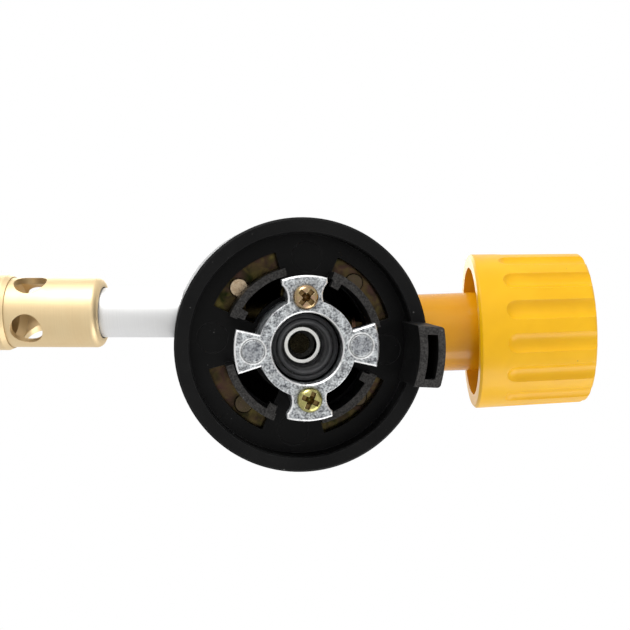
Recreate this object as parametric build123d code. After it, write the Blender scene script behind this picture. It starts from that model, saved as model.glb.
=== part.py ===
"""Hand torch head for a small gas cartridge.

Frame: +Z is up, away from the cartridge, along the cartridge axis. The origin is the centre of the
bayonet ring's front face. The knob points to +X and the burner to -X; both lean by barrel_tilt, so the
knob is low and the burner is high. Lengths are in millimetres and angles in degrees.
"""
from build123d import *
import math
import os

# ---- driving dimensions -------------------------------------------------------------------------
# clearances
slip = 0.05            # radial, around a part that turns or slides
seat_gap = 0.02        # radial, between parts that are screwed or pressed together
loose = 0.2            # radial, around a part that passes through a wall
overlap = 0.5          # how far two shapes of one piece run into each other

# where the barrel lies
barrel_height = 28.2   # where the knob's axis crosses the cartridge axis
barrel_tilt = 10.0     # how far the barrel leans from the collar's plane
burner_offset = -5.6   # how far the burner's axis lies to the side of the knob's
burner_yaw = 2.2       # how far the burner's axis turns away from the knob's

# bayonet ring
lobe_radius = 14.75
lobe_thickness = 2.2
lobe_half_width = 4.6  # at the tip
wedge_root_half = 3.3  # of the two plain lobes, at the hub
waist_radius = 3.6     # of the hollows beside the two screw lobes
hub_radius = 9.9
hub_bore = 7.25
screw_circle = 10.35   # radius on which the two ring screws lie
pillar_radius = 3.1
ring_edge = 0.3        # chamfer
pin_mark_radius = 2.5

# ring screws, M3 pan head
screw_radius = 1.5
screw_head_radius = 2.55
screw_head_height = 1.7
screw_reach = 18.5     # from under the head to the tip
cross_width = 1.05
cross_span = 3.7
cross_depth = 1.1
ring_screw_turns = (45.0, 27.0)

# collar
collar_radius = 26.6   # at the rim
collar_taper = 0.2     # the wall draws in by this towards the housing
rim_height = 6.9       # from the ring's front face up to the collar's rim
rim_wall = 3.2
rim_edge = 0.4
recess_depth = 5.0
floor_thickness = 2.0
collar_turn = 6.7      # the collar's pattern is turned by this about the cartridge axis
window_outer = 20.0
window_inner = 10.7
window_span = 51.0
stop_wall_gap = 0.2    # round the bayonet lobes
stop_wall_thickness = 1.6
stop_wall_height = 6.7  # above the collar floor
hook_depth = 1.5
hook_height = 2.4
hook_span = 7.5
ejector_circle = 18.6
ejector_radius = 3.3
part_line = 12.9       # height of the joint between collar and housing

# guide tab on the collar
tab_front = -6.0
tab_proud = 0.4        # beyond the collar's rim
tab_depth = 5.2
tab_width = 12.2
tab_turn = 5.7
tab_wall = 1.55
tab_side_wall = 1.65
tab_slot_depth = 9.0
tab_root = 1.2         # how far it runs up into the collar's wall
tab_corner = 0.8
tab_edge = 0.25

# retaining plate and its rivets
plate_margin = 0.8     # inside the collar's wall
plate_inner = 15.6
plate_thickness = 1.2
rivet_circle = 17.5
rivet_head_radius = 2.0
rivet_head_height = 0.6
rivet_radius = 1.2

# housing
housing_wall = 2.4
housing_shoulder = 29.5
housing_top = 41.0
crown_share = 0.45     # of the housing's radius, the small flat at its top
boss_wall = 1.8        # round the burner tube
boss_start = 16.0
boss_end = 22.5
flange_inner = 14.9
flange_thickness = 2.4

# gas inlet
nozzle_tip = 8.3
nozzle_radius = 4.12
nozzle_wall = 1.07
nozzle_end = 20.0
throat_step = 0.9
throat_start = 12.4
throat_length = 0.9
filter_length = 1.6
inlet_ring_height = 16.6
inlet_ring_section = 0.42
seal_front = 3.2
seal_gap = 0.45        # inside the bayonet ring's bore
seal_lip = 0.48        # from the nozzle's side to the lip's edge
seal_ridge = 0.7       # from the lip's edge to the ridge's middle

# valve body
core_radius = 8.6
core_top = 36.0
lug_radius = 3.5
lug_height = 8.5
port_radius = 7.2
port_face = 14.0       # along the knob's axis
outlet_radius = 6.0
outlet_face = 9.5      # along the burner's axis
chamber_radius = 2.0
chamber_start = 2.0
port_bore_start = 7.0
passage_radius = 0.9

# bonnet, spindle and their sealing ring, along the knob's axis
bonnet_thread = 4.5
bonnet_washer_thickness = 0.8
bonnet_hex_step = 1.0  # from the barrel to the hexagon's flats
bonnet_hex_length = 3.4
bonnet_end = 42.0
gland_wall = 1.4
gland_gap = 0.2        # round the spindle's land
gland_start = 33.0
spindle_thread = 2.5
spindle_land_step = 0.9
spindle_groove_depth = 1.5
o_ring_width = 1.6
o_ring_start = 37.0
needle_tip = 3.2
needle_length = 4.0
needle_radius = 1.3
drive_length = 7.6     # of the two flats
drive_cut = 0.6        # how far each flat is cut in from the spindle's side
drive_gap = 1.7        # from the spindle's end to the knob's end wall

# neck sleeve and its nut
neck_wall = 1.8
neck_gap = 0.07        # round the corners of the bonnet's hexagon
neck_start = 18.2
neck_end = 49.0
neck_lip = 2.2
neck_web_start = 35.5
neck_web = 2.5
neck_nut_length = 3.0
neck_nut_gap = 0.94    # round its corners
neck_nut_edge = 0.18   # taken off its corners

# knob
knob_start = 40.9
knob_end = 65.6
knob_rim_radius = 17.4
knob_draft = 1.5       # degrees
knob_wall = 3.0
knob_floor = 4.6
knob_corner = 1.0
knob_hub_wall = 2.2
knob_rib_count = 5
knob_rib_thickness = 1.4
knob_rib_length = 10.2
flute_count = 15
flute_width = 4.3
flute_depth = 0.95
flute_start = 46.7
flute_turn = 11.0      # where the first flute lies at rest, in degrees
dimple_radius = 7.0
dimple_depth = 1.6
knob_screw_radius = 1.25
knob_screw_head_radius = 2.6
knob_screw_head_height = 1.6
knob_screw_reach = 12.0

# burner tube and what joins it to the valve, along the burner's axis
nipple_thread = 3.5
nipple_thread_start = 4.0
nipple_bore = 1.4
nipple_hex = 10.4
nipple_hex_length = 3.0
nipple_spigot = 8.0
tube_radius = 5.67
tube_wall = 1.22
tube_end = 50.0

# jet, its holder and its filter
holder_flange = 5.0
holder_spigot = 6.0
holder_bore = 2.0
jet_radius = 2.6
jet_length = 4.2
jet_seat = 1.5         # past the tube's end
orifice_radius = 0.3
wool_length = 3.0

# mixer sleeve; the offsets run from the tube's end
sleeve_overlap = 7.3
sleeve_wall = 1.37
sleeve_step = 0.93     # from the tube's side to the sleeve's bore
sleeve_mouth_length = 3.2
sleeve_mouth_gap = 0.25
throat_offset = 14.0
throat_step_in = 1.2
air_hole_offset = 8.6
air_hole_radius = 3.65
air_hole_count = 4
air_hole_turn = 63.0
sleeve_edge = 1.5

# flame tube and the flame holder in it
flame_offset = 13.5    # past the burner tube's end
flame_overlap = 8.5    # of the sleeve's spigot inside it
flame_step = 0.72      # beyond the sleeve's side
flame_wall = 0.8
flare_offset = 12.5
flare_length = 7.0
flare_step = 1.51
barrel_length = 29.0   # beyond the flare
lip_section = 0.75
flame_holder_thickness = 1.5
flame_holder_gap = 0.4
flame_port_radius = 0.9
flame_port_circle = 5.4
flame_port_count = 10
flame_core_radius = 2.2

# ---- values that follow ---------------------------------------------------------------------------
floor_front = rim_height + recess_depth
floor_back = floor_front + floor_thickness
recess_radius = collar_radius - rim_wall
stop_wall_inner = lobe_radius + stop_wall_gap
stop_wall_outer = stop_wall_inner + stop_wall_thickness
tab_outer = collar_radius + tab_proud
tab_inner = tab_outer - tab_depth
plate_outer = recess_radius - plate_margin
housing_radius = collar_radius - collar_taper
housing_bore = housing_radius - housing_wall
flange_low = floor_back + plate_thickness
screw_hole = screw_radius + 0.15

nozzle_bore = nozzle_radius - nozzle_wall
throat_radius = nozzle_bore - throat_step
seal_radius = hub_bore - seal_gap
seal_lip_radius = nozzle_radius + seal_lip
seal_ridge_radius = seal_lip_radius + seal_ridge

spindle_land = spindle_thread + spindle_land_step
spindle_groove = spindle_land - spindle_groove_depth
gland_radius = spindle_land + gland_gap
o_ring_outer = gland_radius - slip
o_ring_inner = spindle_groove + slip
bonnet_barrel = gland_radius + gland_wall
bonnet_hex = 2 * (bonnet_barrel + bonnet_hex_step)
bonnet_shoulder = port_face + bonnet_washer_thickness
bonnet_hex_end = bonnet_shoulder + bonnet_hex_length
neck_bore = bonnet_hex / math.sqrt(3) + neck_gap
neck_radius = neck_bore + neck_wall
neck_lip_bore = bonnet_barrel + loose

knob_slope = math.tan(math.radians(knob_draft))
knob_hub_radius = spindle_thread + knob_hub_wall
knob_rib_start = knob_end - knob_floor - knob_rib_length
spindle_end = knob_end - knob_floor - drive_gap
drive_start = spindle_end - drive_length
drive_flat = spindle_thread - drive_cut

nipple_hex_end = outlet_face + nipple_hex_length
tube_bore = tube_radius - tube_wall
jet_start = tube_end + jet_seat
sleeve_start = tube_end - sleeve_overlap
sleeve_bore = tube_radius + sleeve_step
sleeve_radius = sleeve_bore + sleeve_wall
throat_at = tube_end + throat_offset
throat_bore = sleeve_bore - throat_step_in
air_hole_at = tube_end + air_hole_offset
flame_start = tube_end + flame_offset
sleeve_end = flame_start + flame_overlap
flame_root_radius = sleeve_radius + flame_step
flame_root_bore = flame_root_radius - flame_wall
flame_radius = flame_root_radius + flare_step
flare_start = flame_start + flare_offset
flare_end = flare_start + flare_length
flame_end = flare_end + barrel_length

tilt = math.radians(barrel_tilt)
yaw = math.radians(burner_yaw)
knob_frame = Plane(
    origin=(0, 0, barrel_height),
    x_dir=(0, 1, 0),
    z_dir=(math.cos(tilt), 0, -math.sin(tilt)),
)
burner_frame = Plane(
    origin=(0, burner_offset, barrel_height),
    x_dir=(math.sin(yaw), -math.cos(yaw), 0),
    z_dir=(-math.cos(tilt) * math.cos(yaw), -math.cos(tilt) * math.sin(yaw), math.sin(tilt)),
)


# ---- helpers --------------------------------------------------------------------------------------
def rod(radius, low, high):
    """Cylinder on the local Z axis between two heights."""
    at_foot = (Align.CENTER, Align.CENTER, Align.MIN)
    return Pos(0, 0, low) * Cylinder(radius, high - low, align=at_foot)


def pipe(outer, inner, low, high):
    """Ring with a straight bore."""
    return rod(outer, low, high) - rod(inner, low - 1, high + 1)


def turned(*points):
    """Solid turned about the local Z axis from (radius, height) corners."""
    outline = Polyline(*[(r, 0, z) for r, z in points], close=True)
    return revolve(make_face(outline), Axis.Z)


def hexagon(flats, low, high):
    """Hexagonal prism on the local Z axis."""
    sketch = RegularPolygon(flats / 2, 6, major_radius=False)
    return Pos(0, 0, low) * extrude(sketch, high - low)


def sector(outer, inner, middle, span, low, high):
    """Part of a ring, centred on an angle in degrees and spanning another."""
    half = math.radians(span / 2)
    reach = outer / math.cos(half) + 1
    corners = [(0, 0)]
    for share in (-1, -0.5, 0, 0.5, 1):
        angle = math.radians(middle) + share * half
        corners.append((reach * math.cos(angle), reach * math.sin(angle)))
    wedge = Pos(0, 0, low) * extrude(make_face(Polyline(*corners, close=True)), high - low)
    return pipe(outer, inner, low, high) & wedge


def cross_recess(top, depth, direction):
    """Cutter for a cross recess whose mouth is at a height, going up (1) or down (-1)."""
    cutter = None
    for angle in (0, 90):
        blade = Box(cross_span, cross_width, 2 * depth)
        arm = Rot(0, 0, angle) * blade
        cutter = arm if cutter is None else cutter + arm
    tip = Cone(cross_width * 0.9, 0.1, depth * 0.8, align=(Align.CENTER, Align.CENTER, Align.MIN))
    if direction < 0:
        tip = Rot(180, 0, 0) * tip
    return Pos(0, 0, top) * (cutter + Pos(0, 0, direction * depth) * tip)


def around(count, radius, start=0.0):
    """Places on a circle, each turned to face outwards."""
    for index in range(count):
        angle = start + 360.0 * index / count
        yield Rot(0, 0, angle) * Pos(radius, 0, 0)


def reach_of(edge):
    """Distance of an edge's middle from the cartridge axis."""
    middle = edge @ 0.5
    return math.hypot(middle.X, middle.Y)


def save(node, shape):
    """Writes one node's STEP file."""
    export_step(shape, f"parts/{node}.step")


def solids_of(shapes):
    """Separate solids kept as one group."""
    return Compound(children=[solid for shape in shapes for solid in shape.solids()])


# ---- bayonet ring and its screws ------------------------------------------------------------------
def plain_lobe():
    """Outline of a wedge-shaped lobe that points to +X."""
    corners = [
        (hub_radius - 2, -wedge_root_half + 0.5),
        (lobe_radius + 2, -lobe_half_width - 0.55),
        (lobe_radius + 2, lobe_half_width + 0.55),
        (hub_radius - 2, wedge_root_half - 0.5),
    ]
    return make_face(Polyline(*corners, close=True)) & Circle(lobe_radius)


def screw_lobe():
    """Outline of a lobe that points to +X, waisted beside its screw."""
    root = hub_radius - 3
    reach = lobe_radius + 2
    blank = Pos((root + reach) / 2, 0) * Rectangle(reach - root, 2 * lobe_half_width)
    for side in (-1, 1):
        centre = side * (pillar_radius + 0.4 + waist_radius)
        blank -= Pos(screw_circle, centre) * Circle(waist_radius)
    return blank & Circle(lobe_radius)


def make_bayonet_ring():
    outline = Circle(hub_radius)
    for angle in (0, 180):
        outline += Rot(0, 0, angle) * plain_lobe()
    for angle in (90, 270):
        outline += Rot(0, 0, angle) * screw_lobe()
    outline -= Circle(hub_bore)
    ring = extrude(outline, lobe_thickness)
    front = ring.faces().sort_by(Axis.Z)[0]
    at_hub = front.edges().filter_by(lambda edge: abs(reach_of(edge) - hub_radius) < 0.01)
    ring = chamfer([edge for edge in front.edges() if edge not in at_hub], ring_edge)
    ring += pipe(hub_radius, hub_bore, lobe_thickness - overlap, floor_front)
    for angle in (90, 270):
        pillar = rod(pillar_radius, lobe_thickness - overlap, floor_front)
        ring += Rot(0, 0, angle) * Pos(screw_circle, 0, 0) * pillar
    ring -= rod(hub_bore, -1, floor_front + 1)
    for angle in (90, 270):
        ring -= Rot(0, 0, angle) * Pos(screw_circle, 0, 0) * rod(screw_hole, -1, floor_front + 1)
    for angle in (0, 180):
        mark = pipe(pin_mark_radius, pin_mark_radius - 0.25, -0.1, 0.12)
        ring -= Rot(0, 0, angle) * Pos(hub_radius + 1.1, 0, 0) * mark
    return ring


def make_ring_screw():
    """Pan-head screw whose head seats at z = 0 and whose shank goes up."""
    head = rod(screw_head_radius, -screw_head_height, 0)
    head = fillet(head.edges().sort_by(Axis.Z)[0], 0.75 * screw_head_height)
    shank = rod(screw_radius, 0, screw_reach)
    shank = chamfer(shank.edges().sort_by(Axis.Z)[-1], 0.5)
    return head + shank - cross_recess(-screw_head_height, cross_depth, 1)


# ---- collar -----------------------------------------------------------------------------------------
def guide_tab():
    """Hollow finger that stands down from the collar's rim."""
    blank = pipe(tab_outer, tab_inner, tab_front, rim_height + tab_root)
    middle = (tab_inner + tab_outer) / 2
    depth = rim_height + tab_root - tab_front
    side = Pos(middle, 0, tab_front + depth / 2) * Box(12, tab_width, depth + 2)
    tab = blank & side
    upright = [edge for edge in tab.edges().filter_by(Axis.Z) if reach_of(edge) > middle]
    tab = fillet(upright, tab_corner)
    front = tab.faces().sort_by(Axis.Z)[0]
    tab = chamfer(front.edges(), tab_edge)
    slot = pipe(tab_outer - tab_wall, tab_inner + tab_wall, tab_front - 1, tab_front + tab_slot_depth)
    slot &= Pos(middle, 0, tab_front + depth / 2) * Box(12, tab_width - 2 * tab_side_wall, depth + 4)
    return tab - slot


def stop_wall(middle):
    """Upright wall across one window, with the hook at the end where the lobes stop."""
    front = floor_front - stop_wall_height
    span = window_span + 3
    wall = sector(stop_wall_outer, stop_wall_inner, middle, span, front, floor_front + overlap)
    hook_middle = middle - (window_span - hook_span) / 2
    inner = stop_wall_inner - hook_depth
    hook = sector(stop_wall_inner + 0.4, inner, hook_middle, hook_span, front, front + hook_height)
    return wall + hook


def make_collar():
    shell = turned(
        (nozzle_radius + seat_gap, floor_front),
        (recess_radius, floor_front),
        (recess_radius, rim_height + 0.3),
        (recess_radius + 0.3, rim_height),
        (collar_radius - rim_edge, rim_height),
        (collar_radius, rim_height + rim_edge),
        (housing_radius, part_line),
        (recess_radius, part_line),
        (recess_radius, floor_back),
        (nozzle_radius + seat_gap, floor_back),
    )
    for index in range(4):
        middle = 45 + 90 * index
        shell -= sector(window_outer, window_inner, middle, window_span, floor_front - 1, floor_back + 1)
    for index in range(4):
        shell += stop_wall(45 + 90 * index)
    for place in around(4, ejector_circle):
        shell -= place * pipe(ejector_radius, ejector_radius - 0.2, floor_front - 0.1, floor_front + 0.12)
    shell = Rot(0, 0, collar_turn) * shell
    for side in (-1, 1):
        shell -= Pos(0, side * screw_circle, 0) * rod(screw_hole, floor_front - 1, floor_back + 1)
    return shell + Rot(0, 0, tab_turn) * guide_tab()


# ---- retaining plate, rivets and housing ------------------------------------------------------------
def make_plate():
    plate = pipe(plate_outer, plate_inner, floor_back, floor_back + plate_thickness)
    for place in around(4, rivet_circle, 45):
        plate -= place * rod(rivet_radius + seat_gap, floor_back - 1, flange_low + 1)
    return plate - knob_frame.location * rod(neck_radius + slip, neck_start, neck_end)


def make_rivets():
    top = flange_low + flange_thickness
    rivet = rod(rivet_head_radius, floor_back - rivet_head_height, floor_back)
    rivet = chamfer(rivet.edges().sort_by(Axis.Z)[0], 0.2)
    rivet += rod(rivet_radius, floor_back, top)
    rivet += rod(rivet_head_radius * 0.9, top, top + rivet_head_height)
    return solids_of([place * rivet for place in around(4, rivet_circle, 45)])


def dome(radius, shoulder, top, low):
    """Round cap: a straight wall, then a quarter ellipse closed by a small flat."""
    steps = 10
    flat = crown_share * radius
    points = []
    for index in range(steps + 1):
        angle = math.radians(90 * index / steps)
        out = flat + (radius - flat) * math.cos(angle)
        points.append((out, 0, shoulder + (top - shoulder) * math.sin(angle)))
    wall = Polyline((0, 0, low), (radius, 0, low), (radius, 0, shoulder))
    curve = Spline(*points, tangents=[(0, 0, 1), (-1, 0, 0)])
    close = Polyline((flat, 0, top), (0, 0, top), (0, 0, low))
    return revolve(make_face(wall + curve + close), Axis.Z)


def make_housing():
    outer = dome(housing_radius, housing_shoulder, housing_top, part_line)
    inner = dome(housing_bore, housing_shoulder, housing_top - housing_wall, part_line - 1)
    boss = burner_frame.location * rod(tube_radius + loose + boss_wall, boss_start, boss_end)
    reach = dome(housing_bore + overlap, housing_shoulder, housing_top - housing_wall, part_line)
    shell = outer - inner
    shell += boss - reach
    shell += pipe(housing_bore + overlap, flange_inner, flange_low, flange_low + flange_thickness)
    shell -= knob_frame.location * rod(neck_radius + loose, 0.5 * housing_radius, 1.5 * housing_radius)
    shell -= burner_frame.location * rod(tube_radius + loose, 0.5 * housing_radius, 1.5 * housing_radius)
    for place in around(4, rivet_circle, 45):
        shell -= place * rod(rivet_radius + seat_gap, flange_low - 1, flange_low + flange_thickness + 1)
    shell -= rod(recess_radius + seat_gap, part_line - 1, floor_back)
    return shell


# ---- gas inlet --------------------------------------------------------------------------------------
def make_nozzle():
    throat_end = throat_start + throat_length
    groove_low = inlet_ring_height - inlet_ring_section - slip
    groove_high = inlet_ring_height + inlet_ring_section + slip
    body = turned(
        (nozzle_bore, nozzle_tip),
        (nozzle_radius - 0.35, nozzle_tip),
        (nozzle_radius, nozzle_tip + 0.35),
        (nozzle_radius, groove_low),
        (nozzle_radius - 2 * inlet_ring_section, groove_low),
        (nozzle_radius - 2 * inlet_ring_section, groove_high),
        (nozzle_radius, groove_high),
        (nozzle_radius, nozzle_end - 0.4),
        (nozzle_radius - 0.4, nozzle_end),
        (throat_radius + 0.4, nozzle_end),
        (throat_radius + 0.4, throat_end),
        (throat_radius, throat_end),
        (throat_radius, throat_start),
        (nozzle_bore, throat_start - 0.5),
    )
    return body


def make_filter():
    low = throat_start + throat_length
    disc = rod(throat_radius + 0.4 - seat_gap, low, low + filter_length)
    return disc


def make_inlet_ring():
    middle = nozzle_radius - inlet_ring_section + seat_gap / 2
    section = Plane.XZ * Pos(middle, inlet_ring_height) * Circle(inlet_ring_section - seat_gap)
    return revolve(section, Axis.Z)


def make_inlet_seal():
    """Rubber grommet in the ring's bore, with a raised ridge round the cartridge's stem."""
    outer = seal_radius
    body = turned(
        (seal_lip_radius, seal_front + 1.3),
        (seal_ridge_radius - 0.35, seal_front + 0.5),
        (seal_ridge_radius, seal_front + 0.35),
        (seal_ridge_radius + 0.35, seal_front + 0.5),
        (seal_ridge_radius + 0.6, seal_front + 1.0),
        (outer - 0.5, seal_front),
        (outer, seal_front + 0.4),
        (outer, floor_front),
        (nozzle_radius + seat_gap, floor_front),
        (nozzle_radius + seat_gap, nozzle_tip + 0.6),
        (seal_lip_radius, nozzle_tip - 0.2),
    )
    return body


# ---- valve ------------------------------------------------------------------------------------------
def make_valve_body():
    body = rod(core_radius, floor_back, core_top)
    body = chamfer(body.edges().sort_by(Axis.Z)[-1], 2.0)
    for side in (-1, 1):
        lug = rod(lug_radius, floor_back, floor_back + lug_height)
        web = Pos(0, side * screw_circle / 2, floor_back + lug_height / 2) * Box(
            2 * lug_radius, screw_circle, lug_height
        )
        body += Pos(0, side * screw_circle, 0) * lug + web
    body += knob_frame.location * rod(port_radius, 0, port_face)
    body += burner_frame.location * rod(outlet_radius, 0, outlet_face)
    body -= rod(nozzle_radius + seat_gap, floor_back - 1, nozzle_end)
    body -= rod(passage_radius, nozzle_end - 1, barrel_height)
    for side in (-1, 1):
        body -= Pos(0, side * screw_circle, 0) * rod(screw_radius + seat_gap, floor_back - 1, screw_reach + 1)
    body -= knob_frame.location * rod(chamber_radius, chamber_start, port_face + 1)
    body -= knob_frame.location * rod(bonnet_thread + seat_gap, port_bore_start, port_face + 1)
    outlet = rod(nipple_thread + seat_gap, nipple_thread_start - 0.5, outlet_face + 1)
    outlet += rod(nipple_bore, -1, outlet_face)
    body -= burner_frame.location * outlet
    return body


def make_bonnet_washer():
    return knob_frame.location * pipe(port_radius - 0.4, bonnet_thread + 0.1, port_face, bonnet_shoulder)


def make_bonnet():
    body = rod(bonnet_thread, port_bore_start + 0.3, bonnet_shoulder)
    body += hexagon(bonnet_hex, bonnet_shoulder, bonnet_hex_end)
    body += rod(bonnet_barrel, bonnet_hex_end, bonnet_end)
    body -= rod(spindle_thread + slip, port_bore_start - 1, bonnet_end + 1)
    body -= rod(gland_radius, gland_start, bonnet_end + 1)
    return knob_frame.location * body


def make_spindle():
    groove_low = o_ring_start - slip
    groove_high = o_ring_start + o_ring_width + slip
    needle_end = needle_tip + needle_length
    body = turned(
        (0, needle_tip),
        (0.25, needle_tip),
        (needle_radius, needle_tip + 2.2),
        (needle_radius, needle_end),
        (spindle_thread, needle_end + 0.8),
        (spindle_thread, gland_start + 1.5),
        (spindle_land, gland_start + 2.4),
        (spindle_land, groove_low),
        (spindle_groove, groove_low),
        (spindle_groove, groove_high),
        (spindle_land, groove_high),
        (spindle_land, groove_high + 1.2),
        (spindle_thread, groove_high + 1.8),
        (spindle_thread, spindle_end - 0.5),
        (spindle_thread - 0.5, spindle_end),
        (0, spindle_end),
    )
    for side in (-1, 1):
        cut = Box(2 * spindle_thread, 2, spindle_end - drive_start + 2)
        middle = (drive_start + spindle_end + 2) / 2
        body -= Pos(0, side * (drive_flat + 1), middle) * cut
    body -= rod(knob_screw_radius + seat_gap, spindle_end - 8, spindle_end + 1)
    return knob_frame.location * body


def make_spindle_ring():
    ring = pipe(o_ring_outer, o_ring_inner, o_ring_start, o_ring_start + o_ring_width)
    ring = fillet(ring.edges(), 0.45)
    return knob_frame.location * ring


# ---- neck -------------------------------------------------------------------------------------------
def make_neck_sleeve():
    sleeve = pipe(neck_radius, neck_bore, neck_start, neck_end)
    sleeve = chamfer(sleeve.edges().sort_by(Axis.Z)[-1], 0.4)
    for low, length in ((neck_start, neck_lip), (neck_web_start, neck_web)):
        sleeve += pipe(neck_bore + overlap, neck_lip_bore, low, low + length)
    return knob_frame.location * sleeve


def make_neck_nut():
    low = neck_web_start + neck_web
    corner = neck_bore - neck_nut_gap
    nut = hexagon(corner * math.sqrt(3), low, low + neck_nut_length)
    nut &= rod(corner - neck_nut_edge, low, low + neck_nut_length)
    nut -= rod(bonnet_barrel + seat_gap, low - 1, low + neck_nut_length + 1)
    return knob_frame.location * nut


# ---- knob -------------------------------------------------------------------------------------------
def knob_radius(height):
    """Outer radius at a place along the knob's axis."""
    return knob_rim_radius - (height - knob_start) * knob_slope


def knob_flutes():
    """Cutters for the finger grooves, which start round and run out through the end."""
    tool_radius = (flute_width**2 / 4 + flute_depth**2) / (2 * flute_depth)
    low = flute_start + flute_width / 2
    middle = knob_radius(low) - flute_depth + tool_radius
    length = knob_end - low + 4
    tool = Pos(0, 0, low) * Sphere(tool_radius)
    tool &= rod(tool_radius, low - flute_width / 2, low + tool_radius)
    tool += Pos(0, 0, low) * Rot(0, -knob_draft, 0) * rod(tool_radius, 0, length)
    return [place * tool for place in around(flute_count, middle, flute_turn)]


def make_knob():
    floor = knob_end - knob_floor
    inner_rim = knob_rim_radius - knob_wall
    body = turned(
        (0, knob_start),
        (knob_rim_radius - 0.5, knob_start),
        (knob_rim_radius, knob_start + 0.5),
        (knob_radius(knob_end), knob_end),
        (0, knob_end),
    )
    body = fillet(body.edges().sort_by(Axis.Z)[-1], knob_corner)
    for tool in knob_flutes():
        body -= tool
    body -= turned(
        (0, knob_start - 1),
        (inner_rim, knob_start - 1),
        (inner_rim, knob_start + 0.6),
        (inner_rim - 0.6, floor),
        (0, floor),
    )
    body += rod(knob_hub_radius, drive_start, floor + 0.5)
    for index in range(knob_rib_count):
        depth = floor - knob_rib_start
        length = inner_rim - knob_hub_radius + 0.6
        rib = Pos(knob_hub_radius - 0.8 + length / 2, 0, knob_rib_start + depth / 2) * Box(
            length, knob_rib_thickness, depth + 0.2
        )
        body += Rot(0, 0, 360 * index / knob_rib_count) * rib
    socket = rod(spindle_thread + seat_gap, drive_start - 1, spindle_end)
    for side in (-1, 1):
        flat = Box(2 * spindle_thread + 1, 2, spindle_end - drive_start + 3)
        place = drive_flat + seat_gap + 1
        socket -= Pos(0, side * place, (drive_start + spindle_end) / 2) * flat
    body -= socket
    body -= rod(dimple_radius, knob_end - dimple_depth, knob_end + 1)
    body -= rod(knob_screw_radius + 0.15, spindle_end - 1, knob_end + 1)
    return knob_frame.location * body


def make_knob_screw():
    seat = knob_end - dimple_depth
    head = rod(knob_screw_head_radius, seat, seat + knob_screw_head_height)
    head = fillet(head.edges().sort_by(Axis.Z)[-1], 0.7 * knob_screw_head_height)
    shank = rod(knob_screw_radius, seat - knob_screw_reach, seat)
    screw = head + shank - cross_recess(seat + knob_screw_head_height, cross_depth, -1)
    return knob_frame.location * screw


# ---- burner -----------------------------------------------------------------------------------------
def make_nipple():
    body = rod(nipple_thread, nipple_thread_start, outlet_face)
    body += hexagon(nipple_hex, outlet_face, nipple_hex_end)
    body += rod(tube_bore - seat_gap, nipple_hex_end, nipple_hex_end + nipple_spigot)
    body -= rod(nipple_bore, nipple_thread_start - 1, nipple_hex_end + nipple_spigot + 1)
    return burner_frame.location * body


def make_burner_tube():
    tube = pipe(tube_radius, tube_bore, nipple_hex_end, tube_end)
    return burner_frame.location * chamfer(tube.edges().filter_by(GeomType.CIRCLE), 0.2)


def make_jet_holder():
    flange_end = tube_end + holder_flange
    body = rod(sleeve_bore - seat_gap, tube_end, flange_end)
    body = chamfer(body.edges().sort_by(Axis.Z)[-1], 0.6)
    body += rod(tube_bore - seat_gap, tube_end - holder_spigot, tube_end)
    body -= rod(holder_bore, tube_end - holder_spigot - 1, flange_end + 1)
    body -= rod(jet_radius + seat_gap, jet_start, flange_end + 1)
    return burner_frame.location * body


def make_jet():
    tip = jet_start + jet_length
    body = turned(
        (holder_bore - 0.4, jet_start),
        (jet_radius, jet_start),
        (jet_radius, tip - 1.2),
        (1.2, tip),
        (orifice_radius, tip),
        (orifice_radius, tip - 1.5),
        (holder_bore - 0.4, tip - 2.4),
    )
    return burner_frame.location * body


def make_jet_filter():
    return burner_frame.location * rod(holder_bore - seat_gap, jet_start - wool_length, jet_start)


def make_mixer_sleeve():
    mouth_end = sleeve_start + sleeve_mouth_length
    spigot = flame_root_bore - seat_gap
    body = turned(
        (tube_radius + sleeve_mouth_gap, sleeve_start),
        (sleeve_radius, sleeve_start),
        (sleeve_radius, flame_start),
        (spigot, flame_start),
        (spigot, sleeve_end),
        (throat_bore + 1.1, sleeve_end),
        (throat_bore, throat_at + 2.5),
        (throat_bore, throat_at),
        (sleeve_bore, throat_at - 1.6),
        (sleeve_bore, mouth_end),
        (tube_radius + sleeve_mouth_gap, mouth_end),
    )
    mouth = body.edges().group_by(Axis.Z)[0]
    body = fillet(mouth.sort_by(SortBy.RADIUS)[-1], sleeve_edge)
    for place in around(air_hole_count, 0, air_hole_turn):
        hole = Pos(0, 0, air_hole_at) * Rot(0, 90, 0) * rod(air_hole_radius, 0, sleeve_radius + 2)
        body -= place * hole
    return burner_frame.location * body


def make_flame_tube():
    bore = flame_radius - flame_wall
    body = turned(
        (flame_root_bore, flame_start),
        (flame_root_radius - 0.45, flame_start),
        (flame_root_radius, flame_start + 1.1),
        (flame_root_radius, flare_start),
        (flame_radius, flare_end),
        (flame_radius, flame_end),
        (bore, flame_end),
        (bore, flare_end),
        (flame_root_bore, flare_start),
    )
    lip = Plane.XZ * Pos(flame_radius - lip_section, flame_end - 0.2) * Circle(lip_section)
    return burner_frame.location * (body + revolve(lip, Axis.Z))


def make_flame_holder():
    """Perforated disc with a short skirt that grips the flame tube."""
    skirt = flame_root_bore - seat_gap
    low = sleeve_end + flame_holder_gap
    disc = rod(skirt, low, low + flame_holder_thickness)
    disc += pipe(skirt, skirt - 0.6, low, flare_start - 0.1)
    for place in around(flame_port_count, flame_port_circle):
        disc -= place * rod(flame_port_radius, low - 1, low + flame_holder_thickness + 1)
    disc -= rod(flame_core_radius, low - 1, low + flame_holder_thickness + 1)
    return burner_frame.location * disc


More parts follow.
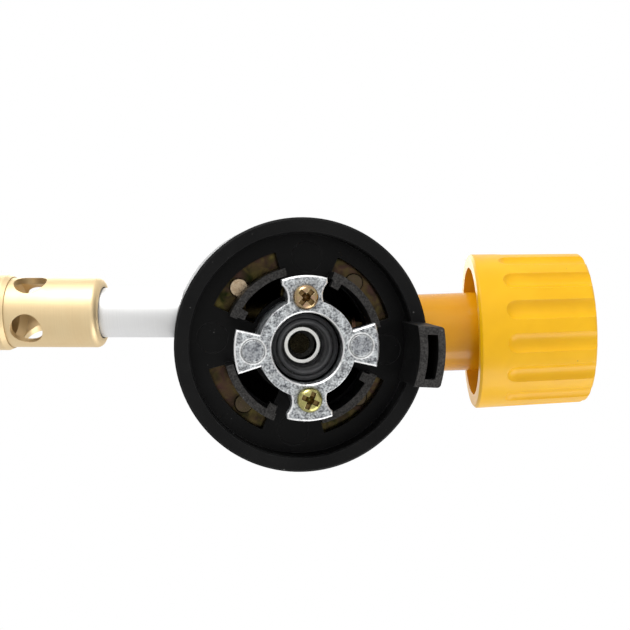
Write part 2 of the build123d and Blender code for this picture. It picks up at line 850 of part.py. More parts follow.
# ---- build ------------------------------------------------------------------------------------------
def main():
    os.makedirs("parts", exist_ok=True)
    screws = []
    for side, turn in zip((-1, 1), ring_screw_turns):
        screws.append(Pos(0, side * screw_circle, 0) * Rot(0, 0, turn) * make_ring_screw())
    nodes = {
        "bayonet_ring": make_bayonet_ring(),
        "ring_screws": solids_of(screws),
        "collar": make_collar(),
        "retaining_plate": make_plate(),
        "plate_rivets": make_rivets(),
        "housing": make_housing(),
        "inlet_nozzle": make_nozzle(),
        "inlet_filter": make_filter(),
        "inlet_o_ring": make_inlet_ring(),
        "inlet_seal": make_inlet_seal(),
        "valve_body": make_valve_body(),
        "bonnet_washer": make_bonnet_washer(),
        "bonnet": make_bonnet(),
        "needle_spindle": make_spindle(),
        "spindle_o_ring": make_spindle_ring(),
        "neck_sleeve": make_neck_sleeve(),
        "neck_nut": make_neck_nut(),
        "knob": make_knob(),
        "knob_screw": make_knob_screw(),
        "outlet_nipple": make_nipple(),
        "burner_tube": make_burner_tube(),
        "jet_holder": make_jet_holder(),
        "gas_jet": make_jet(),
        "jet_filter": make_jet_filter(),
        "mixer_sleeve": make_mixer_sleeve(),
        "flame_tube": make_flame_tube(),
        "flame_holder": make_flame_holder(),
    }
    for node, shape in nodes.items():
        save(node, shape)


main()
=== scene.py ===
"""Looks for the hand torch head: finishes, light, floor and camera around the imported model."""
import bpy
import math
from mathutils import Matrix, Vector

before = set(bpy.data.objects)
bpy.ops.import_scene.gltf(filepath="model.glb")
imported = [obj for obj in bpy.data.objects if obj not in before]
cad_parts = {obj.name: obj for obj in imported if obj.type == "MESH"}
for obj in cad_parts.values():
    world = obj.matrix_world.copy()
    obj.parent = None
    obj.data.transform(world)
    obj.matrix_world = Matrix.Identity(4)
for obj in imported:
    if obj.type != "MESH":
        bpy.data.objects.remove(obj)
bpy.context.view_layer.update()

MM = 0.001
scene = bpy.context.scene

# ---- where the two tilted axes lie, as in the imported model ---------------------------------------
AXIS_HEIGHT = 28.2 * MM
BURNER_OFFSET = -5.6 * MM
TILT = math.radians(10)
YAW = math.radians(2.2)
KNOB_ORIGIN = Vector((0, 0, AXIS_HEIGHT))
KNOB_AXIS = Vector((math.cos(TILT), 0, -math.sin(TILT)))
BURNER_ORIGIN = Vector((0, BURNER_OFFSET, AXIS_HEIGHT))
BURNER_AXIS = Vector((-math.cos(TILT) * math.cos(YAW), -math.cos(TILT) * math.sin(YAW), math.sin(TILT)))
UPRIGHT_ORIGIN = Vector((0, 0, 0))
UPRIGHT_AXIS = Vector((0, 0, 1))

# ---- places that finishes are tied to, from the ring's front face ---------------------------------
PIN_MARK_PLACE = 11.0 * MM     # of the ejector pins' marks, from the ring's centre
PIN_MARK_RADIUS = 2.6 * MM
RING_SCREW_PLACE = 10.35 * MM  # of the ring screws, from the ring's centre
RECESS_REACH = 1.9 * MM        # of a cross recess, from its screw's axis
RECESS_FRONT = -1.50 * MM
RECESS_SHADED = -1.36 * MM
BORE_RADIUS = 3.1 * MM
BORE_MOUTH = 8.4 * MM
BORE_SHADED = 10.0 * MM
TEXTURED_BELOW = 6.0 * MM      # the collar's moulded texture ends here

# ---- studio, in metres ----------------------------------------------------------------------------
FLOOR_HEIGHT = -0.27
FLOOR_SIZE = 6.0
LENS = 57.3                    # millimetres, on a 36 mm sensor
CAMERA_PLACE = Vector((-0.02638, -0.01950, -0.19885))
CAMERA_RIGHT = Vector((0.9891, 0.0376, -0.1424))
CAMERA_UP = Vector((0.0462, -0.9973, 0.0577))
LIGHTS = (  # name, place, aim, size, watts
    ("key", (-0.12, -0.40, -0.14), (0.01, 0, 0.02), 0.24, 1.3),
    ("fill", (0.20, 0.36, -0.16), (0, 0, 0.02), 0.40, 1.1),
    ("top", (-0.10, -0.10, 0.45), (0, 0, 0.02), 0.40, 1.0),
)


# ---- node helpers --------------------------------------------------------------------------------
def put(tree, kind, sockets=None, **settings):
    """Adds one shader node. Each socket is given a value, or the output it is joined to."""
    made = tree.nodes.new("ShaderNode" + kind)
    for name, value in settings.items():
        setattr(made, name, value)
    for key, value in (sockets or {}).items():
        if isinstance(value, bpy.types.NodeSocket):
            tree.links.new(value, made.inputs[key])
        else:
            made.inputs[key].default_value = value
    return made


def maths(tree, operation, *values, clamp=False):
    return put(tree, "Math", dict(enumerate(values)), operation=operation, use_clamp=clamp).outputs[0]


def ramp(tree, value, low, high, to_low=0.0, to_high=1.0):
    """Takes a value from low..high to to_low..to_high."""
    sockets = {"Value": value, "From Min": low, "From Max": high, "To Min": to_low, "To Max": to_high}
    return put(tree, "MapRange", sockets).outputs[0]


def distance(tree, across, along):
    """Length of a flat vector from its two parts."""
    squared = maths(tree, "MULTIPLY_ADD", across, across, maths(tree, "MULTIPLY", along, along))
    return maths(tree, "SQRT", squared)


def normal_height(tree):
    """How far a face looks up (1) or down (-1)."""
    return put(tree, "SeparateXYZ", {"Vector": put(tree, "NewGeometry").outputs["Normal"]}).outputs[2]


def blend_colour(tree, mask, first, second):
    made = tree.nodes.new("ShaderNodeMix")
    made.data_type = "RGBA"
    for socket, value in ((made.inputs[0], mask), (made.inputs[6], first), (made.inputs[7], second)):
        if isinstance(value, bpy.types.NodeSocket):
            tree.links.new(value, socket)
        else:
            socket.default_value = (*value, 1) if hasattr(value, "__len__") and len(value) == 3 else value
    return made.outputs[2]


def shared_group(name, takes, gives):
    """Starts a shader node group with named sockets.

    takes holds (name, kind, value); gives holds (name, kind)."""
    tree = bpy.data.node_groups.new(name, "ShaderNodeTree")
    for label, kind, value in takes:
        socket = tree.interface.new_socket(label, in_out="INPUT", socket_type="NodeSocket" + kind)
        if value is not None:
            socket.default_value = value
    for label, kind in gives:
        tree.interface.new_socket(label, in_out="OUTPUT", socket_type="NodeSocket" + kind)
    return tree, tree.nodes.new("NodeGroupInput").outputs, tree.nodes.new("NodeGroupOutput").inputs


# ---- shared effects ------------------------------------------------------------------------------
def make_fine_grain():
    """A fine random height, for moulded, blasted and cast skins. Size is in millimetres."""
    tree, takes, gives = shared_group(
        "fine_grain",
        [("Vector", "Vector", None), ("Size", "Float", 0.3), ("Detail", "Float", 3.0)],
        [("Height", "Float")],
    )
    scale = maths(tree, "DIVIDE", 1 / MM, takes["Size"])
    noise = put(tree, "TexNoise", {"Vector": takes["Vector"], "Scale": scale, "Detail": takes["Detail"]})
    tree.links.new(noise.outputs[0], gives["Height"])
    return tree


def make_patches():
    """Soft patches of a second tone. Size is in millimetres; Spread says how much of the skin they take."""
    tree, takes, gives = shared_group(
        "patches",
        [
            ("Vector", "Vector", None), ("Size", "Float", 4.0),
            ("Spread", "Float", 0.5), ("Softness", "Float", 0.2),
        ],
        [("Mask", "Float")],
    )
    scale = maths(tree, "DIVIDE", 1 / MM, takes["Size"])
    sockets = {"Vector": takes["Vector"], "Scale": scale, "Detail": 2.0, "Distortion": 0.6}
    noise = put(tree, "TexNoise", sockets)
    middle = maths(tree, "SUBTRACT", 1.0, takes["Spread"])
    low = maths(tree, "SUBTRACT", middle, takes["Softness"])
    high = maths(tree, "ADD", middle, takes["Softness"])
    tree.links.new(ramp(tree, noise.outputs[0], low, high), gives["Mask"])
    return tree


def make_dust():
    """Scattered specks of dust. Spacing is in millimetres; Radius is a share of it."""
    tree, takes, gives = shared_group(
        "dust",
        [
            ("Vector", "Vector", None), ("Spacing", "Float", 2.0),
            ("Radius", "Float", 0.06), ("Amount", "Float", 0.4),
        ],
        [("Mask", "Float")],
    )
    scale = maths(tree, "DIVIDE", 1 / MM, takes["Spacing"])
    cells = put(tree, "TexVoronoi", {"Vector": takes["Vector"], "Scale": scale, "Randomness": 1.0})
    lot = put(tree, "SeparateColor", {"Color": cells.outputs["Color"]})
    edge = maths(tree, "MULTIPLY", takes["Radius"], lot.outputs[1])
    speck = maths(tree, "LESS_THAN", cells.outputs["Distance"], edge)
    chosen = maths(tree, "LESS_THAN", lot.outputs[0], takes["Amount"])
    tree.links.new(maths(tree, "MULTIPLY", speck, chosen), gives["Mask"])
    return tree


def make_rounded_edge():
    """The small radius that every edge has: a rounded normal, and a mask of where it turns, for edge wear and
    painted edge highlights.

    Radius is in metres."""
    tree, takes, gives = shared_group(
        "rounded_edge",
        [("Radius", "Float", 0.2 * MM), ("Vector", "Vector", None), ("Wear", "Float", 0.5)],
        [("Normal", "Vector"), ("Mask", "Float")],
    )
    rounded = put(tree, "Bevel", {"Radius": takes["Radius"]}, samples=4)
    flat = put(tree, "NewGeometry")
    both = {0: rounded.outputs[0], 1: flat.outputs["Normal"]}
    turn = put(tree, "VectorMath", both, operation="DOT_PRODUCT")
    corner = ramp(tree, turn.outputs["Value"], 0.995, 0.86)
    rub = put(tree, "TexNoise", {"Vector": takes["Vector"], "Scale": 900.0, "Detail": 2.0})
    wear_and_highlight = ramp(tree, rub.outputs[0], maths(tree, "SUBTRACT", 0.75, takes["Wear"]), 0.8)
    tree.links.new(rounded.outputs[0], gives["Normal"])
    tree.links.new(maths(tree, "MULTIPLY", corner, wear_and_highlight, clamp=True), gives["Mask"])
    return tree


def make_turning_lines():
    """Fine lines round an axis, as a lathe leaves. Vector is along the axis in z; Pitch is in millimetres."""
    tree, takes, gives = shared_group(
        "turning_lines",
        [("Vector", "Vector", None), ("Pitch", "Float", 0.12)],
        [("Height", "Float")],
    )
    part = put(tree, "SeparateXYZ", {"Vector": takes["Vector"]}).outputs
    reach = distance(tree, part[1], part[0])
    along = maths(tree, "MULTIPLY_ADD", reach, 1.7, part[2])
    steps = maths(tree, "DIVIDE", maths(tree, "DIVIDE", along, MM), takes["Pitch"])
    lines = put(tree, "TexNoise", {"W": steps, "Scale": 1.0, "Detail": 2.0}, noise_dimensions="1D")
    tree.links.new(lines.outputs[0], gives["Height"])
    return tree


def make_scratches():
    """Thin straight scratches in a few directions. Size is in millimetres."""
    tree, takes, gives = shared_group(
        "scratches",
        [("Vector", "Vector", None), ("Size", "Float", 3.0), ("Amount", "Float", 0.3)],
        [("Mask", "Float")],
    )
    total = None
    for turn, stretch in ((0.5, 18.0), (1.9, 24.0), (2.7, 14.0)):
        placed = put(tree, "Mapping", {"Vector": takes["Vector"], "Rotation": (turn, 0.4 * turn, turn)})
        thin = put(tree, "Mapping", {"Vector": placed.outputs[0], "Scale": (1.0, stretch, 1.0)})
        scale = maths(tree, "DIVIDE", 1 / MM, takes["Size"])
        noise = put(tree, "TexNoise", {"Vector": thin.outputs[0], "Scale": scale, "Detail": 1.0})
        start = maths(tree, "SUBTRACT", 0.86, maths(tree, "MULTIPLY", takes["Amount"], 0.2))
        line = ramp(tree, noise.outputs[0], start, 0.9)
        total = line if total is None else maths(tree, "MAXIMUM", total, line)
    tree.links.new(total, gives["Mask"])
    return tree


def make_crevice():
    """Dirt and painted shade where other surfaces stand close, as in recesses and bores. Reach is in
    millimetres.
    """
    tree, takes, gives = shared_group(
        "crevice",
        [("Vector", "Vector", None), ("Reach", "Float", 1.0), ("Depth", "Float", 0.8)],
        [("Mask", "Float")],
    )
    reach = maths(tree, "MULTIPLY", takes["Reach"], MM)
    near = put(tree, "AmbientOcclusion", {"Distance": reach}, samples=6).outputs["AO"]
    smear = put(tree, "TexNoise", {"Vector": takes["Vector"], "Scale": 700.0, "Detail": 2.0})
    uneven = ramp(tree, smear.outputs[0], 0.3, 0.7, 0.75, 1.0)
    closed = ramp(tree, near, 0.85, 0.25)
    shade = maths(tree, "MULTIPLY", maths(tree, "MULTIPLY", closed, uneven), takes["Depth"], clamp=True)
    tree.links.new(shade, gives["Mask"])
    return tree


effects = {
    "crevice": make_crevice(),
    "fine_grain": make_fine_grain(),
    "patches": make_patches(),
    "dust": make_dust(),
    "rounded_edge": make_rounded_edge(),
    "turning_lines": make_turning_lines(),
    "scratches": make_scratches(),
}


# ---- finishes ------------------------------------------------------------------------------------
class Finish:
    """One material: a Principled shader, object coordinates, and the shared effects it uses."""

    def __init__(self, name, **constants):
        self.material = bpy.data.materials.new(name)
        self.material.use_nodes = True
        self.tree = self.material.node_tree
        self.tree.nodes.clear()
        out = put(self.tree, "OutputMaterial")
        self.shader = put(self.tree, "BsdfPrincipled")
        self.tree.links.new(self.shader.outputs[0], out.inputs[0])
        self.place = put(self.tree, "TexCoord").outputs["Object"]
        for key, value in constants.items():
            self.shader.inputs[key.replace("_", " ")].default_value = value

    def effect(self, name, **sockets):
        made = self.tree.nodes.new("ShaderNodeGroup")
        made.node_tree = effects[name]
        sockets.setdefault("Vector", self.place)
        for key, value in sockets.items():
            if isinstance(value, bpy.types.NodeSocket):
                self.tree.links.new(value, made.inputs[key])
            else:
                made.inputs[key].default_value = value
        return made.outputs

    def on_axis(self, origin, axis):
        """Object coordinates turned so that z runs along the axis and starts at the origin."""
        turn = axis.to_track_quat("Z", "Y").to_matrix().transposed()
        shift = -(turn @ origin)
        sockets = {"Vector": self.place, "Rotation": turn.to_euler(), "Location": shift}
        return put(self.tree, "Mapping", sockets).outputs[0]

    def parts_of_place(self):
        """X, Y and Z of the object coordinates."""
        return put(self.tree, "SeparateXYZ", {"Vector": self.place}).outputs

    def colour(self, value):
        self.tree.links.new(value, self.shader.inputs["Base Color"])

    def rough(self, value, low, high):
        self.tree.links.new(ramp(self.tree, value, 0.0, 1.0, low, high), self.shader.inputs["Roughness"])

    def relief(self, height, depth, strength=1.0, normal=None):
        """Bump from a height, depth in millimetres, over a rounded normal if there is one."""
        sockets = {"Height": height, "Distance": depth * MM, "Strength": strength}
        if normal is not None:
            sockets["Normal"] = normal
        return put(self.tree, "Bump", sockets).outputs[0]

    def skin(self, normal):
        self.tree.links.new(normal, self.shader.inputs["Normal"])


def make_black_moulding(name, textured_below=None):
    """Satin black plastic. Faces that look down below the given height have the mould's coarse texture,
    partly painted light.
    """
    made = Finish(name, Specular_IOR_Level=0.09)
    tree = made.tree
    edge = made.effect("rounded_edge", Radius=0.18 * MM, Wear=0.6)
    grain = made.effect("fine_grain", Size=0.16, Detail=2.0)["Height"]
    cloud = made.effect("patches", Size=9.0, Spread=0.5, Softness=0.35)["Mask"]
    specks = made.effect("dust", Spacing=2.6, Radius=0.10, Amount=0.35)["Mask"]
    fluff = made.effect("dust", Spacing=0.9, Radius=0.10, Amount=0.16)["Mask"]
    dirt = maths(tree, "MAXIMUM", specks, fluff)
    base = blend_colour(tree, cloud, (0.0036, 0.0036, 0.0039), (0.0085, 0.0085, 0.0085))
    # painted highlight, with some wear, along the rounded edges
    base = blend_colour(tree, edge["Mask"], base, (0.050, 0.050, 0.051))
    smooth_grain = maths(tree, "MULTIPLY", grain, 0.35)
    smooth_rough = maths(tree, "MULTIPLY", cloud, 0.5)
    if textured_below is not None:
        low = ramp(tree, made.parts_of_place()[2], textured_below, textured_below - 0.3 * MM)
        down = maths(tree, "LESS_THAN", normal_height(tree), -0.7)
        texture = maths(tree, "MULTIPLY", low, down, clamp=True)
        sparkle = made.effect("fine_grain", Size=0.34, Detail=3.0)["Height"]
        peaks = ramp(tree, sparkle, 0.35, 0.7)
        # the textured faces' lighter grey and bright peaks are partly the texture's own tone and partly
        # painted light
        texture_and_painted_light = blend_colour(tree, peaks, (0.018, 0.0175, 0.017), (0.066, 0.063, 0.061))
        base = blend_colour(tree, texture, base, texture_and_painted_light)
        coarse = maths(tree, "MULTIPLY", sparkle, maths(tree, "MULTIPLY", texture, 3.0))
        height = maths(tree, "ADD", smooth_grain, coarse)
        rough = maths(tree, "MAXIMUM", smooth_rough, texture)
    else:
        height = smooth_grain
        rough = smooth_rough
    made.colour(blend_colour(tree, maths(tree, "MULTIPLY", dirt, 0.55), base, (0.13, 0.127, 0.124)))
    made.rough(rough, 0.34, 0.72)
    made.skin(made.relief(height, 0.02, 0.6, edge["Normal"]))
    return made.material


def make_yellow_moulding(name, deep, warm, low_rough, high_rough, coat):
    """Glossy warm yellow plastic, with a painted highlight along its rounded edges."""
    made = Finish(
        name,
        Subsurface_Weight=0.05,
        Subsurface_Scale=0.6 * MM,
        Subsurface_Radius=(1.0, 0.45, 0.06),
        Specular_IOR_Level=0.28,
        Coat_Weight=coat,
        Coat_Roughness=0.10,
    )
    tree = made.tree
    edge = made.effect("rounded_edge", Radius=0.3 * MM, Wear=0.4)
    grain = made.effect("fine_grain", Size=0.22, Detail=2.0)["Height"]
    cloud = made.effect("patches", Size=7.0, Spread=0.5, Softness=0.3)["Mask"]
    specks = made.effect("dust", Spacing=3.2, Radius=0.07, Amount=0.3)["Mask"]
    rub = made.effect("scratches", Size=4.0, Amount=0.25)["Mask"]
    base = blend_colour(tree, cloud, deep, warm)
    # painted highlight along the rounded edges
    base = blend_colour(tree, maths(tree, "MULTIPLY", edge["Mask"], 0.35), base, (1.0, 0.72, 0.25))
    base = blend_colour(tree, maths(tree, "MULTIPLY", specks, 0.5), base, (0.35, 0.20, 0.05))
    made.colour(base)
    made.rough(maths(tree, "MAXIMUM", maths(tree, "MULTIPLY", cloud, 0.5), rub), low_rough, high_rough)
    made.skin(made.relief(grain, 0.010, 0.5, edge["Normal"]))
    return made.material


def pin_marks(made):
    """Masks of the ejector pins' marks on the two plain lobes: the pressed circle, and its bright rim."""
    tree = made.tree
    part = made.parts_of_place()
    across = maths(tree, "SUBTRACT", maths(tree, "ABSOLUTE", part[0]), PIN_MARK_PLACE)
    reach = distance(tree, part[1], across)
    front = maths(tree, "LESS_THAN", part[2], 0.15 * MM)
    off_rim = maths(tree, "ABSOLUTE", maths(tree, "SUBTRACT", reach, PIN_MARK_RADIUS))
    rim = maths(tree, "MULTIPLY", ramp(tree, off_rim, 0.26 * MM, 0.06 * MM), front)
    inside = ramp(tree, reach, PIN_MARK_RADIUS - 0.1 * MM, 0.55 * PIN_MARK_RADIUS)
    return maths(tree, "MULTIPLY", inside, front), rim


def make_zinc():
    """Blasted zinc die casting, mottled grey, with its edges, the pin marks' rims and faces that look down at
    45 degrees whitened.
    """
    made = Finish("zinc_casting", Metallic=1.0)
    tree = made.tree
    edge = made.effect("rounded_edge", Radius=0.30 * MM, Wear=1.1)
    fine = made.effect("fine_grain", Size=0.42, Detail=5.0)["Height"]
    broad = made.effect("fine_grain", Size=1.3, Detail=4.0)["Height"]
    stain = made.effect("patches", Size=3.0, Spread=0.45, Softness=0.2)["Mask"]
    mixed = maths(tree, "MULTIPLY_ADD", fine, 0.6, maths(tree, "MULTIPLY", broad, 0.5))
    mottle = ramp(tree, mixed, 0.44, 0.66)
    base = blend_colour(tree, mottle, (0.08, 0.085, 0.10), (0.74, 0.77, 0.79))
    base = blend_colour(tree, maths(tree, "MULTIPLY", stain, 0.22), base, (0.52, 0.52, 0.50))
    pressed, rim = pin_marks(made)
    base = blend_colour(tree, maths(tree, "MULTIPLY", pressed, 0.45), base, (0.20, 0.21, 0.24))
    bright = maths(tree, "MAXIMUM", edge["Mask"], maths(tree, "MULTIPLY", rim, 0.7))
    off_slant = maths(tree, "ABSOLUTE", maths(tree, "ADD", normal_height(tree), 0.707))
    bright = maths(tree, "MAXIMUM", bright, maths(tree, "LESS_THAN", off_slant, 0.12))
    base = blend_colour(tree, bright, base, (1.0, 1.0, 1.0))
    shade = made.effect("crevice", Reach=1.5, Depth=0.8)["Mask"]
    base = blend_colour(tree, shade, base, (0.05, 0.055, 0.05))
    made.colour(base)
    made.rough(maths(tree, "MULTIPLY_ADD", mottle, 0.4, maths(tree, "MULTIPLY", stain, 0.4)), 0.40, 0.62)
    made.skin(made.relief(maths(tree, "ADD", fine, broad), 0.11, 0.9, edge["Normal"]))
    return made.material


def in_cross_recess(made):
    """Mask of painted shade in the ring screws' cross recesses, behind the heads' front faces."""
    tree = made.tree
    part = made.parts_of_place()
    across = maths(tree, "SUBTRACT", maths(tree, "ABSOLUTE", part[1]), RING_SCREW_PLACE)
    inside = maths(tree, "LESS_THAN", distance(tree, part[0], across), RECESS_REACH)
    behind = ramp(tree, part[2], RECESS_FRONT, RECESS_SHADED)
    front = maths(tree, "LESS_THAN", part[2], 0.0)
    return maths(tree, "MULTIPLY", maths(tree, "MULTIPLY", inside, behind), front)


def make_passivated(
    name, first, second, third, size, low_rough, high_rough, edge_tint,
    chosen=None, other=None, also_shaded=None
):
    """Yellow passivated steel, whose thin film drifts between three tints.

    chosen(finish) may give a mask of the pieces that have the other tint, and also_shaded(finish) one of
    where deep shade is painted."""
    made = Finish(name, Metallic=1.0)
    tree = made.tree
    edge = made.effect("rounded_edge", Radius=0.12 * MM, Wear=0.5)
    drift = made.effect("patches", Size=size, Spread=0.5, Softness=0.22)["Mask"]
    second_drift = made.effect("patches", Size=size * 0.45, Spread=0.42, Softness=0.18)["Mask"]
    rub = made.effect("scratches", Size=2.0, Amount=0.4)["Mask"]
    grain = made.effect("fine_grain", Size=0.15, Detail=2.0)["Height"]
    base = blend_colour(tree, drift, first, second)
    base = blend_colour(tree, maths(tree, "MULTIPLY", second_drift, 0.7), base, third)
    if chosen is not None:
        base = blend_colour(tree, chosen(made), base, blend_colour(tree, second_drift, *other))
    base = blend_colour(tree, maths(tree, "MULTIPLY", edge["Mask"], 0.7), base, edge_tint)
    shade = made.effect("crevice", Reach=0.9, Depth=0.95)["Mask"]
    base = blend_colour(tree, shade, base, tuple(0.06 * c for c in first))
    # painted shade, dark brown, where also_shaded marks
    if also_shaded is not None:
        deep = maths(tree, "MULTIPLY", also_shaded(made), 0.85)
        base = blend_colour(tree, deep, base, (0.17, 0.105, 0.040))
    made.colour(base)
    made.rough(maths(tree, "MAXIMUM", rub, maths(tree, "MULTIPLY", drift, 0.5)), low_rough, high_rough)
    made.skin(made.relief(grain, 0.012, 0.5, edge["Normal"]))
    return made.material


def down_the_bore(made):
    """Mask of painted shade that rises from the nozzle's mouth down its bore."""
    tree = made.tree
    part = made.parts_of_place()
    inside = maths(tree, "LESS_THAN", distance(tree, part[0], part[1]), BORE_RADIUS)
    return maths(tree, "MULTIPLY", ramp(tree, part[2], BORE_MOUTH, BORE_SHADED), inside)


def make_turned(
    name, base_colour, stain_colour, origin, axis, low_rough, high_rough, pitch=0.14, depth=0.012,
    shade_reach=2.0, shade_depth=0.8, also_shaded=None
):
    """A bright turned metal with lathe lines round its axis and a light tarnish.

    also_shaded(finish) may give a mask of where deep shade is painted."""
    made = Finish(name, Metallic=1.0)
    tree = made.tree
    edge = made.effect("rounded_edge", Radius=0.12 * MM, Wear=0.5)
    lines = made.effect("turning_lines", Vector=made.on_axis(origin, axis), Pitch=pitch)["Height"]
    stain = made.effect("patches", Size=5.0, Spread=0.42, Softness=0.25)["Mask"]
    rub = made.effect("scratches", Size=3.0, Amount=0.3)["Mask"]
    base = blend_colour(tree, maths(tree, "MULTIPLY", stain, 0.5), base_colour, stain_colour)
    dull = tuple(0.55 * c for c in base_colour)
    base = blend_colour(tree, maths(tree, "MULTIPLY", lines, 0.12), base, dull)
    shade = made.effect("crevice", Reach=shade_reach, Depth=shade_depth)["Mask"]
    if also_shaded is not None:
        shade = maths(tree, "MAXIMUM", shade, also_shaded(made))
    made.colour(blend_colour(tree, shade, base, tuple(0.10 * c for c in stain_colour)))
    worn = maths(tree, "MULTIPLY_ADD", stain, 0.5, maths(tree, "MULTIPLY", lines, 0.3))
    made.rough(maths(tree, "MAXIMUM", worn, rub), low_rough, high_rough)
    made.skin(made.relief(lines, depth, 0.5, edge["Normal"]))
    return made.material


def make_sintered():
    """Small bronze beads sintered together, with dark pores between them; their tones are darkened and the
    crevice mask adds more, as painted shade deep in the bore.
    """
    made = Finish("sintered_bronze", Metallic=0.9)
    tree = made.tree
    beads = put(tree, "TexVoronoi", {"Vector": made.place, "Scale": 3800.0, "Randomness": 0.8})
    lot = put(tree, "SeparateColor", {"Color": beads.outputs["Color"]}).outputs[0]
    dome = ramp(tree, beads.outputs["Distance"], 0.0, 0.75, 1.0, 0.0)
    base = blend_colour(tree, lot, (0.20, 0.16, 0.075), (0.34, 0.29, 0.16))
    base = blend_colour(tree, ramp(tree, dome, 0.35, 0.1), base, (0.03, 0.022, 0.012))
    shade = made.effect("crevice", Reach=9.0, Depth=0.9)["Mask"]
    made.colour(blend_colour(tree, shade, base, (0.012, 0.010, 0.006)))
    made.rough(lot, 0.40, 0.65)
    made.skin(made.relief(dome, 0.12, 1.0))
    return made.material


def make_rubber():
    """Moulded black rubber with a dry bloom."""
    made = Finish("black_rubber", Specular_IOR_Level=0.35)
    tree = made.tree
    bloom = made.effect("patches", Size=2.4, Spread=0.45, Softness=0.3)["Mask"]
    specks = made.effect("dust", Spacing=0.8, Radius=0.12, Amount=0.3)["Mask"]
    grain = made.effect("fine_grain", Size=0.14, Detail=3.0)["Height"]
    base = blend_colour(tree, bloom, (0.038, 0.038, 0.040), (0.074, 0.074, 0.077))
    made.colour(blend_colour(tree, maths(tree, "MULTIPLY", specks, 0.6), base, (0.20, 0.20, 0.20)))
    made.rough(bloom, 0.42, 0.62)
    made.skin(made.relief(grain, 0.02, 0.6))
    return made.material


def make_felt():
    """Pressed pale fibre, for the filter behind the jet."""
    made = Finish("filter_felt", Sheen_Weight=0.3)
    tree = made.tree
    sockets = {"Vector": made.place, "Rotation": (0.7, 0.3, 1.1), "Scale": (1.0, 5.0, 1.0)}
    drawn_out = put(tree, "Mapping", sockets).outputs[0]
    fibres = made.effect("fine_grain", Vector=drawn_out, Size=0.5, Detail=4.0)["Height"]
    made.colour(blend_colour(tree, fibres, (0.42, 0.38, 0.30), (0.80, 0.77, 0.68)))
    made.rough(fibres, 0.8, 0.95)
    made.skin(made.relief(fibres, 0.15, 0.8))
    return made.material


def on_second_screw(made):
    """Mask of the ring screw on +Y, whose film is greener."""
    return maths(made.tree, "GREATER_THAN", made.parts_of_place()[1], 0.0)


def on_bright_rivet(made):
    """Mask of the rivet on -X and -Y, which is given a much lighter tint."""
    part = made.parts_of_place()
    first = maths(made.tree, "LESS_THAN", part[0], 0.0)
    second = maths(made.tree, "LESS_THAN", part[1], 0.0)
    return maths(made.tree, "MULTIPLY", first, second)


zinc = make_zinc()
rubber = make_rubber()
BRASS = (0.78, 0.58, 0.26)
BRASS_STAIN = (0.52, 0.34, 0.14)
GOLD = (0.91, 0.72, 0.43)
GOLD_STAIN = (0.85, 0.63, 0.35)
finishes = {
    "collar": make_black_moulding("collar_black", textured_below=TEXTURED_BELOW),
    "housing": make_black_moulding("housing_black"),
    # The neck is the knob's yellow plastic; its darker tones are painted shade.
    "neck_sleeve": make_yellow_moulding(
        "neck_yellow_painted_shade", (0.66, 0.285, 0.002), (0.72, 0.33, 0.004), 0.20, 0.30, coat=0.25
    ),
    "knob": make_yellow_moulding(
        "knob_yellow", (0.80, 0.42, 0.003), (0.87, 0.475, 0.005), 0.28, 0.42, coat=0.06
    ),
    "bayonet_ring": zinc,
    "ring_screws": make_passivated(
        "screw_film", (0.46, 0.33, 0.16), (0.44, 0.27, 0.19), (0.38, 0.34, 0.15), 1.6, 0.22, 0.45,
        (0.92, 0.84, 0.60), on_second_screw, ((0.40, 0.38, 0.14), (0.58, 0.51, 0.20)), in_cross_recess,
    ),
    "retaining_plate": make_passivated(
        "plate_film", (0.010, 0.015, 0.004), (0.070, 0.036, 0.031), (0.110, 0.088, 0.027), 5.0, 0.16, 0.36,
        (0.40, 0.33, 0.20),
    ),
    "plate_rivets": make_passivated(
        "rivet_film", (0.050, 0.040, 0.022), (0.090, 0.065, 0.045), (0.070, 0.060, 0.030), 2.0, 0.22, 0.45,
        (0.24, 0.20, 0.13), on_bright_rivet, ((0.50, 0.37, 0.24), (0.74, 0.60, 0.42)),
    ),
    "knob_screw": make_passivated(
        "knob_screw_film", (0.50, 0.38, 0.18), (0.56, 0.42, 0.22), (0.44, 0.36, 0.16), 2.2, 0.26, 0.5,
        (0.86, 0.74, 0.52),
    ),
    "inlet_nozzle": make_turned(
        "nickel_plate", (0.90, 0.90, 0.88), (0.78, 0.76, 0.70), UPRIGHT_ORIGIN, UPRIGHT_AXIS, 0.20, 0.42,
        shade_reach=1.2, shade_depth=0.7, also_shaded=down_the_bore,
    ),
    "inlet_filter": make_sintered(),
    "inlet_o_ring": rubber,
    "inlet_seal": rubber,
    "spindle_o_ring": rubber,
    "jet_filter": make_felt(),
    # The valve body lies inside the housing; its 14 mm shade reach paints it in shade.
    "valve_body": make_turned(
        "body_brass", (0.30, 0.23, 0.09), (0.16, 0.11, 0.04), UPRIGHT_ORIGIN, UPRIGHT_AXIS, 0.28, 0.5,
        pitch=0.3, depth=0.02, shade_reach=14.0, shade_depth=1.0,
    ),
    "bonnet_washer": make_turned(
        "copper", (0.80, 0.45, 0.28), (0.45, 0.22, 0.13), KNOB_ORIGIN, KNOB_AXIS, 0.3, 0.55
    ),
    "flame_holder": make_turned(
        "holder_steel", (0.58, 0.56, 0.54), (0.36, 0.30, 0.26), BURNER_ORIGIN, BURNER_AXIS, 0.25, 0.5
    ),
    "burner_tube": make_turned(
        "drawn_aluminium", (0.92, 0.92, 0.92), (0.89, 0.89, 0.89), BURNER_ORIGIN, BURNER_AXIS, 0.50, 0.60,
        pitch=0.3, depth=0.004,
    ),
}
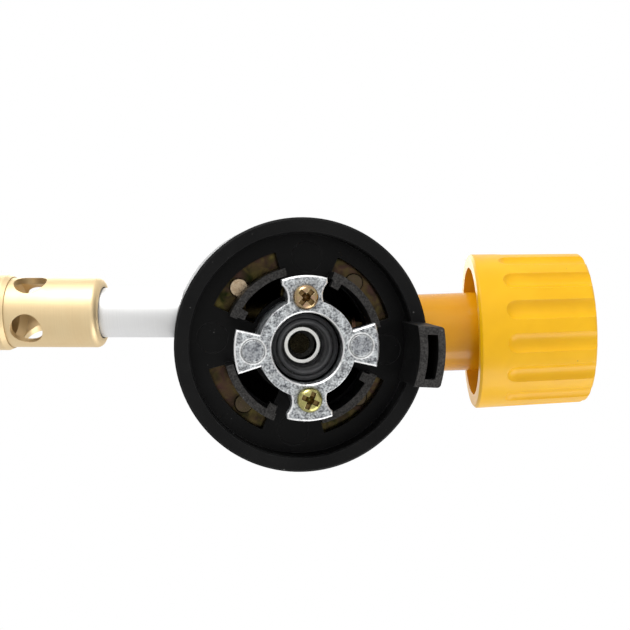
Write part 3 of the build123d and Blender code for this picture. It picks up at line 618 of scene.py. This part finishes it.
# These brass parts lie inside the housing; the 14 mm shade reach paints them in shade.
brass_on_knob = make_turned(
    "spindle_brass", BRASS, BRASS_STAIN, KNOB_ORIGIN, KNOB_AXIS, 0.22, 0.5, shade_reach=14.0, shade_depth=1.0
)
brass_on_burner = make_turned(
    "jet_brass", BRASS, BRASS_STAIN, BURNER_ORIGIN, BURNER_AXIS, 0.22, 0.5, shade_reach=14.0, shade_depth=1.0
)
gold = make_turned(
    "gold_brass", GOLD, GOLD_STAIN, BURNER_ORIGIN, BURNER_AXIS, 0.48, 0.58, pitch=0.25, depth=0.004
)
for name in ("bonnet", "needle_spindle", "neck_nut"):
    finishes[name] = brass_on_knob
for name in ("outlet_nipple", "jet_holder", "gas_jet"):
    finishes[name] = brass_on_burner
for name in ("mixer_sleeve", "flame_tube"):
    finishes[name] = gold

for name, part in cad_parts.items():
    part.material_slots[0].material = finishes[name]


# ---- light, floor and camera ---------------------------------------------------------------------
def make_world():
    """Pale studio walls, a little brighter on the key's side, and plain white where nothing stands."""
    world = bpy.data.worlds.new("studio")
    world.use_nodes = True
    tree = world.node_tree
    tree.nodes.clear()
    out = put(tree, "OutputWorld")
    side = put(tree, "SeparateXYZ", {"Vector": put(tree, "TexCoord").outputs["Generated"]}).outputs[1]
    level = ramp(tree, side, -1.0, 1.0, 0.86, 0.74)
    walls = put(tree, "Background", {"Color": (1, 1, 1, 1), "Strength": level})
    plain = put(tree, "Background", {"Color": (1, 1, 1, 1), "Strength": 1.0})
    seen = put(tree, "LightPath").outputs["Is Camera Ray"]
    mixed = put(tree, "MixShader", {0: seen, 1: walls.outputs[0], 2: plain.outputs[0]})
    tree.links.new(mixed.outputs[0], out.inputs[0])
    scene.world = world


def make_floor():
    bpy.ops.object.select_all(action="DESELECT")
    bpy.ops.mesh.primitive_plane_add(size=FLOOR_SIZE, location=(0, 0, FLOOR_HEIGHT))
    floor = bpy.context.object
    floor.name = "studio_floor"
    made = Finish("studio_paper", Roughness=0.9, Specular_IOR_Level=0.2)
    tooth = made.effect("patches", Size=60.0, Spread=0.5, Softness=0.4)["Mask"]
    made.colour(blend_colour(made.tree, tooth, (0.66, 0.66, 0.655), (0.70, 0.70, 0.695)))
    floor.data.materials.append(made.material)


def add_light(name, place, aim, size, power):
    light = bpy.data.lights.new(name, "AREA")
    light.shape = "DISK"
    light.size = size
    light.energy = power
    lamp = bpy.data.objects.new(name, light)
    lamp.location = place
    lamp.rotation_euler = (Vector(aim) - Vector(place)).to_track_quat("-Z", "Y").to_euler()
    lamp.visible_camera = False
    scene.collection.objects.link(lamp)


def add_camera():
    data = bpy.data.cameras.new("camera")
    data.sensor_width = 36.0
    data.lens = LENS
    data.clip_start = 0.01
    camera = bpy.data.objects.new("camera", data)
    back = CAMERA_RIGHT.cross(CAMERA_UP).normalized()
    up = back.cross(CAMERA_RIGHT).normalized()
    turned = Matrix((CAMERA_RIGHT.normalized(), up, back)).transposed().to_4x4()
    turned.translation = CAMERA_PLACE
    camera.matrix_world = turned
    scene.collection.objects.link(camera)
    scene.camera = camera


make_world()
make_floor()
for row in LIGHTS:
    add_light(*row)
add_camera()
scene.view_settings.view_transform = "Standard"
scene.view_settings.look = "None"
